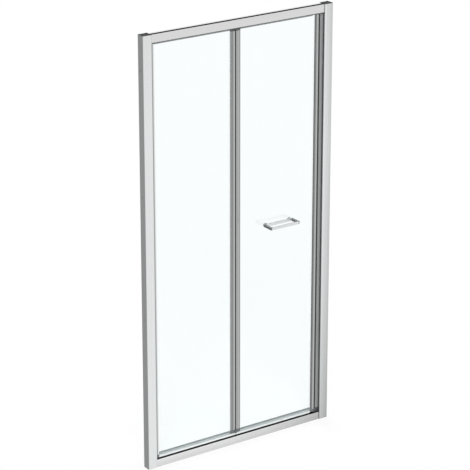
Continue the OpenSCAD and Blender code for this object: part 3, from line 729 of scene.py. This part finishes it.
# %% The seal beside the pivot
def dress_pivot_seal():
    """Lip with its front at y = y0 + 1.9 mm times t squared, 1.4 mm thick at
    the root and 0.5 mm at the tip, where t goes from 0 to 1.  Its other side
    has a flange against the post and a tongue in the post's groove."""
    low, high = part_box("pivot_seal")
    root, tip = low[0] + 3.5 * MM, high[0]
    flange = root - 1 * MM, root - 0.2 * MM
    tongue = low[1] + 1.4 * MM, low[1] + 3.2 * MM
    t = np.linspace(0, 1, 10)
    front = np.column_stack((root + (tip - root) * t,
                             low[1] + 1.6 * MM + 1.9 * MM * t * t))
    back = front + np.column_stack((0 * t, (1.4 - 0.9 * t) * MM))
    back[:, 1] = np.minimum(back[:, 1], high[1] - 0.05 * MM)
    outline = np.vstack((
        [(low[0], tongue[0]), (flange[0], tongue[0]), (flange[0], low[1]),
         (flange[1], low[1])],
        front, back[::-1],
        [(flange[1], high[1]), (flange[0], high[1]), (flange[0], tongue[1]),
         (low[0], tongue[1])]))
    add_piece("pivot_seal_strip", bar(outline, low[2], high[2], "z"),
              [seal_lip], "frame", "pivot_seal")


dress_pivot_seal()


# %% [markdown]
# Two strips with a magnet inside close the door: one on the post, one on the
# closing stile.  Each is a soft tube with round corners and a tongue that is
# pushed into a groove.  A tube needs an inside, so its surface goes up the
# outside, down the inside and back to the start, as a ring.

# %% Magnet seals
TUBE_CORNER, TONGUE_HALF = 1.5 * MM, 1.8 * MM
JAMB_TONGUE, DOOR_TONGUE = 2.9 * MM, -2.5 * MM  # how far they reach along X


def with_tongue(outline, x, reach, first):
    """An outline with four points of a tongue put in before point `first`:
    it leaves the side at x and reaches out."""
    half = math.copysign(TONGUE_HALF, reach)
    tongue = [(x, -half), (x + reach, -half), (x + reach, half), (x, half)]
    return np.insert(outline, first, tongue, axis=0)


def dress_magnet_seal(name, body, magnet, reach, mat):
    """Outside and inside have as many points: where the outside has its
    tongue, the inside has four points on its straight side.  Each corner
    has 7 points, so the side to +X ends before point 7 and the other side
    before point 21."""
    low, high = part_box(name)
    core_low, core_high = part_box(magnet)
    x0 = low[0] - min(reach, 0)
    x1 = high[0] - max(reach, 0)
    first = 7 if reach > 0 else 21
    outer = rounded(x0, x1, low[1], high[1], TUBE_CORNER)
    outer = with_tongue(outer, x1 if reach > 0 else x0, reach, first)
    inner = rounded(core_low[0] - GAP, core_high[0] + GAP, core_low[1] - GAP,
                    core_high[1] + GAP, 0.3 * MM)
    side = np.linspace(inner[first - 1], inner[first], 6)[1:-1]
    inner = np.insert(inner, first, side, axis=0)
    rings = [raised(outer, low[2]), raised(outer, high[2]),
             raised(inner, high[2]), raised(inner, low[2])]
    add_piece(name + "_tube", loft(rings, True), [mat], body, name)


dress_magnet_seal("jamb_magnet_seal", "frame", "jamb_magnet", JAMB_TONGUE,
                  seal_grey)
dress_magnet_seal("door_magnet_seal", "panel_b", "door_magnet", DOOR_TONGUE,
                  by_slot[slot_of["door_magnet_seal"]])


# %% [markdown]
# Below the magnet seals a rubber foot closes the corner, and a thin rubber
# strip fills the front groove of the closing post.  Both are soft, so their
# edges are round.

# %% Foot and post strip
def dress_foot():
    """A stack of rings.  With an angle p the edge is drawn in by
    e (1 - cos p) and lies e (1 - sin p) from the end, e being 0.8 mm."""
    low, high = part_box("jamb_foot")
    edge, x1 = 0.8 * MM, high[0] - JAMB_TONGUE
    p = np.radians(np.linspace(90, 0, 4))
    inset, rise = edge * (1 - np.cos(p)), edge * (1 - np.sin(p))
    rings = [raised(with_tongue(
        rounded(low[0] + d, x1 - d, low[1] + d, high[1] - d, TUBE_CORNER),
        x1 - d, JAMB_TONGUE, 7), z)
        for d, z in zip(np.append(inset, inset[::-1]),
                        np.append(low[2] + rise, (high[2] - rise)[::-1]))]
    add_piece("jamb_foot_soft", loft(rings), [foot_rubber], "frame",
              "jamb_foot")


def dress_post_strip():
    """A strip with corners of 0.7 mm radius."""
    low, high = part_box("post_strip")
    outline = rounded(low[0], high[0], low[1], high[1], 0.7 * MM, 5)
    add_piece("post_strip_soft", bar(outline, low[2], high[2], "z"),
              [gasket_rubber], "frame", "post_strip")


dress_foot()
dress_post_strip()


# %% [markdown]
# A gasket is a clear U round the edge of the glass, inside the stile.  Its
# front arm is thick where the slot is wide, and its ends have round noses.
# It is drawn 0.04 mm smaller than its seat, because two faces in one place
# would fight for the same pixels.

# %% Glazing gaskets
AIR = 0.04 * MM
SLOT_HALF, SLOT_WIDE = 4.4 * MM, 6.3 * MM  # the slot's faces, by Y


def gasket(bottom, front, rear, thick):
    """One U in X and Y, from X values in metres: the slot's bottom, the end
    of the front arm and of the rear arm.  thick is how deep the front arm is
    thick, or 0.  Its web is 0.8 mm thick."""
    way = 1 if front > bottom else -1
    near, far = pane + GAP + AIR, SLOT_HALF - AIR
    wide = SLOT_WIDE - AIR if thick else far
    front, rear = (abs(end - bottom) - 2 * AIR for end in (front, rear))
    step = [(front - thick, -far), (front - thick, -wide)] if thick else []
    nose, tip = 0.45 * (wide - near), 0.5 * MM
    u = np.vstack((
        [(0, -far)] + step,
        arc(front - nose, nose - wide, nose, -90, 0, 4),
        arc(front - nose, -near - nose, nose, 0, 90, 4),
        [(0.8 * MM, -near), (0.8 * MM, near)],
        arc(rear - tip, near + tip, tip, -90, 0, 4),
        arc(rear - tip, far - tip, tip, 0, 90, 4),
        [(0, far)]))
    return np.column_stack((bottom + way * (AIR + u[:, 0]), u[:, 1]))


def dress_gaskets(name, body, sections):
    """Upright bars, one for each edge of the pane."""
    low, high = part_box(name)
    add_piece(name + "_soft", joined([
        bar(gasket(*section), low[2] + AIR, high[2] - AIR, "z")
        for section in sections]), [gasket_clear], body, name)


stile_a, stile_b = (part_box(f"hinge_stile_{side}") for side in "ab")
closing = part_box("leading_stile")
gaskets_a, gaskets_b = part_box("gaskets_a"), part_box("gaskets_b")
pivot_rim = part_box("pivot_stile")[1][0]
# The rear arm ends further in, because a stile's rear lip is short.
thick, rear_drawn_in, closing_drawn_in = 7.9 * MM, 10.6 * MM, 6.7 * MM
dress_gaskets("gaskets_a", "panel_a", [
    (gaskets_a[0][0], pivot_rim, pivot_rim, 0),
    (gaskets_a[1][0], stile_a[0][0], stile_a[0][0] + rear_drawn_in, thick)])
dress_gaskets("gaskets_b", "panel_b", [
    (gaskets_b[0][0], stile_b[1][0], stile_b[1][0] - rear_drawn_in, thick),
    (gaskets_b[1][0], closing[0][0], closing[0][0] + closing_drawn_in,
     thick)])


# %% [markdown]
# The stop is a rubber buffer in the upper track, held by one screw from
# below.  Its hole is stepped, so its surface is a ring too: up the outside,
# then down through the hole.

# %% Travel stop
def dress_stop():
    """A hole of 1.7 mm radius, with a seat of 3.4 mm radius and 3 mm deep,
    10 mm from one end.  The sides are rings of 28 points as well."""
    low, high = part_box("open_stop")
    edge, corner, bore, head = 0.6 * MM, 2 * MM, 1.7 * MM, 3.4 * MM
    seat, hole_x = low[2] + 3 * MM, high[0] - 10 * MM
    turn = np.radians(-90 + 360 / 28 * (np.arange(28) + 0.5))
    circle = np.column_stack((np.cos(turn), np.sin(turn)))

    def hole(r, z):
        """A ring of the hole, with its radius and height."""
        return raised(circle * r + (hole_x, 0), z)

    def side(d, z):
        """A ring of the sides, drawn in by d."""
        return raised(rounded(low[0] + d, high[0] - d, low[1] + d,
                              high[1] - d, corner - d), z)

    rings = [hole(head, seat), hole(head, low[2]),
             side(edge, low[2]), side(edge / 4, low[2] + edge / 4),
             side(0, low[2] + edge), side(0, high[2]),
             hole(bore, high[2]), hole(bore, seat)]
    add_piece("open_stop_soft", loft(rings, True), [stop_rubber], "frame",
              "open_stop", sharp=40)


dress_stop()


# %% [markdown]
# ## The handle
#
# The loop is a bent and welded bar with soft edges.  A bevel on the CAD
# solid would thin out at its corners, so the loop is made as a ring of
# rings: one rounded rectangle is drawn again and again, each time a little
# further out and up.

# %% Handle loop
def dress_handle():
    """With an angle p the edge goes out by e (1 - cos p) and lies
    e (1 - sin p) from the top, e being 0.9 mm; the same below.  The rings
    go up the outside of the loop and down its inside."""
    low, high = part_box("handle_loop")
    thick, edge, corner_out, corner_in = (v * MM for v in
                                          (9.5, 0.9, 2.4, 1.4))
    p = np.radians(np.linspace(0, 90, 5))
    inset = edge * (1 - np.cos(p))
    top = high[2] - edge * (1 - np.sin(p))
    inset = np.append(inset[::-1], inset)
    height = np.append(low[2] + high[2] - top[::-1], top)
    outside = np.column_stack((inset, corner_out - inset, height))
    inside = np.column_stack((thick - inset, corner_in + inset, height))
    rings = [raised(rounded(low[0] + d, high[0] - d, low[1] + d, high[1] - d,
                            max(r, 0.2 * MM)), z)
             for d, r, z in np.vstack((outside, inside[::-1]))]
    crown = high[2] - 0.2 * MM
    add_piece("handle_loop_polished", loft(rings, True),
              [chrome, chrome_satin], "panel_b", "handle_loop",
              lambda x, y, z: z > crown, sharp=50)


dress_handle()


# %% [markdown]
# ## Screws and bolts
#
# A screw is turned on a lathe and its drive is pressed into the head, so it
# is made as a turned shape: a stack of rings whose radius changes with
# height.  Only the rings of the drive aren't round.  Thread and drive are
# left out of the CAD solids, because they would only slow the checks.

# %% Turned screws
TURN = 360 / 32 * (np.arange(32) + 0.5)


def drive(kind, size):
    """Radius of the drive at each angle.  A cross has min(size, 0.3 size /
    sin q), q being the angle to the nearest arm, with sin q at least 0.05; a
    hexagon has size / cos q, q being the angle to the middle of the nearest
    side."""
    if kind == "cross":
        q = np.abs((TURN + 45) % 90 - 45)
        sine = np.maximum(np.sin(np.radians(q)), 0.05)
        return np.minimum(size, 0.3 * size / sine)
    return size / np.cos(np.radians((TURN + 30) % 60 - 30))


def turned(head_r, head_h, shank_r, length, kind, pitch):
    """Rings of a screw along +Z with its drive face at z = 0.  The drive is
    0.52 of the head's radius wide where it is a cross and 0.36 where it is a
    hexagon, and narrows to 0.6 of that at its bottom.  The thread's roots
    are one pitch apart."""
    socket = drive(kind, (0.52 if kind == "cross" else 0.36) * head_r)
    rim = 0.18 * head_h
    bare, root_depth, point = 1.5 * MM, 0.25 * MM, 0.8 * MM
    steps = [(0.6 * socket, 0.6 * head_h), (socket, 0), (head_r - rim, 0),
             (head_r - 0.3 * rim, 0.3 * rim), (head_r, rim),
             (head_r, head_h), (shank_r, head_h)]
    if pitch:
        for z in np.arange(head_h + bare, length - bare - pitch, pitch):
            steps += [(shank_r - root_depth, z), (shank_r, z + 0.5 * pitch)]
    steps += [(shank_r, length - point), (0.6 * shank_r, length)]
    radius = np.array([np.broadcast_to(r, TURN.shape) for r, z in steps])
    z = np.array([z for r, z in steps])[:, None] + 0 * TURN
    angle = np.radians(TURN)
    return np.stack((radius * np.cos(angle), radius * np.sin(angle), z), -1)


print("a screw's rings:", len(turned(0.003, 0.002, 0.0016, 0.02, "cross",
                                     1.2 * MM)))


# %% [markdown]
# Where and how big each screw is, the CAD node knows: it holds several
# solids, and each one's box and radii give a screw.  The solids are told
# apart by their edges, because points that an edge joins belong together.

# %% Find the solids of a node
def islands(obj):
    """The points of each separate solid.  Points in one place share a
    number; the smaller number spreads along edges until nothing changes."""
    mesh = obj.data
    points = np.empty(3 * len(mesh.vertices))
    mesh.vertices.foreach_get("co", points)
    points = points.reshape(-1, 3)
    edges = np.empty(2 * len(mesh.edges), np.int32)
    mesh.edges.foreach_get("vertices", edges)
    same = np.unique(points.round(6), axis=0, return_inverse=True)[1].ravel()
    a, b = same[edges.reshape(-1, 2)].T
    group, before = np.arange(same.max() + 1), None
    while not np.array_equal(group, before):
        before = group.copy()
        least = np.minimum(group[a], group[b])
        np.minimum.at(group, a, least)
        np.minimum.at(group, b, least)
    label = group[same]
    return [points[label == one] for one in np.unique(label)]


def measured(solid, k):
    """Of one screw along axis k: its middle, ends, head and shank radius,
    head height, and whether the head is at the low end.  The head's points
    are those at over 0.9 of the largest radius."""
    same = 0.001 * MM
    low, high = solid.min(0), solid.max(0)
    middle = (low + high) / 2
    reach = np.hypot(*np.delete(solid - middle, k, 1).T)
    head = solid[reach > 0.9 * reach.max(), k]
    at_low = head.min() - low[k] < high[k] - head.max()
    end = (solid[:, k] > high[k] - same if at_low
           else solid[:, k] < low[k] + same)
    return (middle, low[k], high[k], reach.max(), reach[end].max(),
            np.ptp(head), at_low)


print("track screws found:", len(islands(nodes["track_screws"])))


# %% Dress the screws
def dress_screws(name, axis, kind, mat, body, pitch=0.0):
    """Turned screws in the places and sizes of a node's CAD screws."""
    k = "xyz".index(axis)
    shapes = []
    for solid in islands(nodes[name]):
        middle, low, high, head_r, shank_r, head_h, at_low = measured(solid,
                                                                      k)
        rings = turned(head_r, head_h, shank_r, high - low, kind, pitch)
        along = low + rings[..., 2] if at_low else high - rings[..., 2]
        across = rings[..., :2] + np.delete(middle, k)
        shapes.append(loft(np.insert(across, k, along, axis=-1)))
    add_piece(name + "_turned", joined(shapes), [mat], body, name)


for name, axis, body, pitch in (
        ("track_screws", "z", "frame", 1.2),
        ("lock_screws", "y", "frame", 1.2),
        ("frame_screws", "x", "frame", 1.4),
        ("block_screws_a", "z", "panel_a", 1.1),
        ("block_screws_b", "z", "panel_b", 1.1)):
    dress_screws(name, axis, "cross", screw_steel, body, pitch * MM)
dress_screws("handle_bolts", "y", "hex", chrome, "panel_b")


# %% [markdown]
# ## Studio
#
# The door stands on a pale, wide floor that fills the picture.  To look
# white without more light on the door, the floor glows by itself where the
# camera sees it, and a weak matt layer on it still takes the door's shadow.
# Rays that satin metal sends out pass the floor and meet the world below,
# because reflections are what shapes metal.  Rays that carry diffuse light
# see a plain matt floor.

# %% Floor
def floor_material():
    """Glow and matt layer add up to white: 0.791 plus 0.2 of the light, 0.2
    being the linear value of the layer's grey."""
    mat = bpy.data.materials.new("studio_floor")
    mat.use_nodes = True
    tree = mat.node_tree
    tree.nodes.clear()
    glow = add_node(tree, "ShaderNodeEmission", None, {
        "Color": linear("#ffffff"), "Strength": 0.791})
    film = add_node(tree, "ShaderNodeBsdfDiffuse", None,
                    {"Color": linear("#7c7c7c")})
    seen = add_node(tree, "ShaderNodeAddShader", None,
                    {0: glow.outputs[0], 1: film.outputs[0]})
    clear = add_node(tree, "ShaderNodeBsdfTransparent")
    matt = add_node(tree, "ShaderNodeBsdfDiffuse", None,
                    {"Color": linear("#e7e7e7")})
    path = add_node(tree, "ShaderNodeLightPath")
    first = add_node(tree, "ShaderNodeMixShader", None, {
        0: path.outputs["Glossy Depth"], 1: seen.outputs[0],
        2: clear.outputs[0]})
    second = add_node(tree, "ShaderNodeMixShader", None, {
        0: path.outputs["Diffuse Depth"], 1: first.outputs[0],
        2: matt.outputs[0]})
    add_node(tree, "ShaderNodeOutputMaterial", None,
             {"Surface": second.outputs[0]})
    return mat


half = 40.0
mesh = bpy.data.meshes.new("studio_floor")
mesh.from_pydata([(-half, -half, 0), (half, -half, 0), (half, half, 0),
                  (-half, half, 0)], [], [(0, 1, 2, 3)])
mesh.materials.append(floor_material())
floor = bpy.data.objects.new("studio_floor", mesh)
bpy.context.scene.collection.objects.link(floor)
print("floor laid:", 2 * half, "m wide")

# %% [markdown]
# Satin metal shows the tones around it.  A room full of white panels and
# dark flags could be built, but the world can hold the same tones in a
# formula: for a ray in direction (x, y, z) the tone is a smooth step of
# s = 0.8 x - 0.6 y, from 0.30 on the left and behind to 0.90 in front and to
# the right, and it turns to 1.15 as the ray points up.

# %% World
world = bpy.data.worlds.new("studio")
bpy.context.scene.world = world
world.use_nodes = True
tree = world.node_tree
tree.nodes.clear()
ray = add_node(tree, "ShaderNodeTexCoord").outputs["Generated"]
lean = add_node(tree, "ShaderNodeVectorMath", {"operation": "DOT_PRODUCT"},
                {0: ray, 1: (0.8, -0.6, 0.0)})
step = {"interpolation_type": "SMOOTHSTEP"}
around = add_node(tree, "ShaderNodeMapRange", step, {
    "Value": lean.outputs["Value"], "From Min": -0.45, "From Max": 0.8,
    "To Min": 0.30, "To Max": 0.90})
parts = add_node(tree, "ShaderNodeSeparateXYZ", None, {0: ray})
above = add_node(tree, "ShaderNodeMapRange", step, {
    "Value": parts.outputs["Z"], "From Min": -0.05, "From Max": 0.35})
tone = add_node(tree, "ShaderNodeMix", {"data_type": "FLOAT"}, {
    0: above.outputs["Result"], 2: around.outputs["Result"], 3: 1.15})
print("tones of the studio set")

# %% [markdown]
# The camera and rays through glass see plain white.  Diffuse light comes in
# at 0.55 from every side, which with the lamps lights a colour about as it
# is written.

# %% World for each kind of ray
white = add_node(tree, "ShaderNodeBackground", None,
                 {"Color": linear("#ffffff"), "Strength": 1.0})
gloss = add_node(tree, "ShaderNodeBackground", None,
                 {"Color": linear("#ffffff"), "Strength": tone.outputs[0]})
fill = add_node(tree, "ShaderNodeBackground", None,
                {"Color": linear("#ffffff"), "Strength": 0.55})
path = add_node(tree, "ShaderNodeLightPath")
first = add_node(tree, "ShaderNodeMixShader", None, {
    0: path.outputs["Glossy Depth"], 1: white.outputs[0],
    2: gloss.outputs[0]})
second = add_node(tree, "ShaderNodeMixShader", None, {
    0: path.outputs["Diffuse Depth"], 1: first.outputs[0],
    2: fill.outputs[0]})
add_node(tree, "ShaderNodeOutputWorld", None, {"Surface": second.outputs[0]})
print("world ready")


# %% [markdown]
# Three wide soft lamps light the plastics and the floor: a key from the
# front left, a fill from the front right and one from behind.  Distant lamps
# are used, because their light doesn't fall off across the floor, so the
# floor stays one white and only the shadow stands out.

# %% Lamps
def lamp(name, place, power):
    """A distant light that shines from a place towards the door's middle,
    seen under an angle of 30 degrees."""
    data = bpy.data.lights.new(name, "SUN")
    data.energy = power
    data.angle = math.radians(30)
    obj = bpy.data.objects.new(name, data)
    aim = Vector((0, 0, 1.0)) - Vector(place)
    obj.location = place
    obj.rotation_euler = aim.to_track_quat("-Z", "Y").to_euler()
    obj.visible_glossy = False
    bpy.context.scene.collection.objects.link(obj)


lamp("key_light", (-2.5, -4.0, 4.5), 1.48)
lamp("fill_light", (4.0, -3.0, 3.0), 0.77)
lamp("back_light", (0.5, 4.5, 4.0), 0.65)
print("lamps hung")

# %% [markdown]
# ## Camera
#
# The camera was solved from the straight edges of the frame in the
# photograph: it stands left of the door, looks 20 degrees down and has a
# long lens.

# %% Camera
FOCAL_PIXELS, PICTURE_PIXELS, SENSOR = 2241.33, 470, 36  # sensor in mm
camera_data = bpy.data.cameras.new("camera")
camera_data.sensor_width = SENSOR
camera_data.lens = FOCAL_PIXELS / PICTURE_PIXELS * SENSOR
camera_data.clip_end = 200
ahead = Vector((0.534892, 0.771368, -0.344793)).normalized()
side = Vector((0.821759, -0.569835, 0.0)).normalized()
up = side.cross(ahead)
spot = Vector((-5.19895, -7.47655, 4.32853))
camera = bpy.data.objects.new("camera", camera_data)
camera.matrix_world = Matrix((
    (side.x, up.x, -ahead.x, spot.x), (side.y, up.y, -ahead.y, spot.y),
    (side.z, up.z, -ahead.z, spot.z), (0, 0, 0, 1)))
bpy.context.scene.collection.objects.link(camera)
bpy.context.scene.camera = camera
bpy.context.scene.view_settings.view_transform = "Standard"
print("focal length:", round(camera_data.lens, 1), "mm")
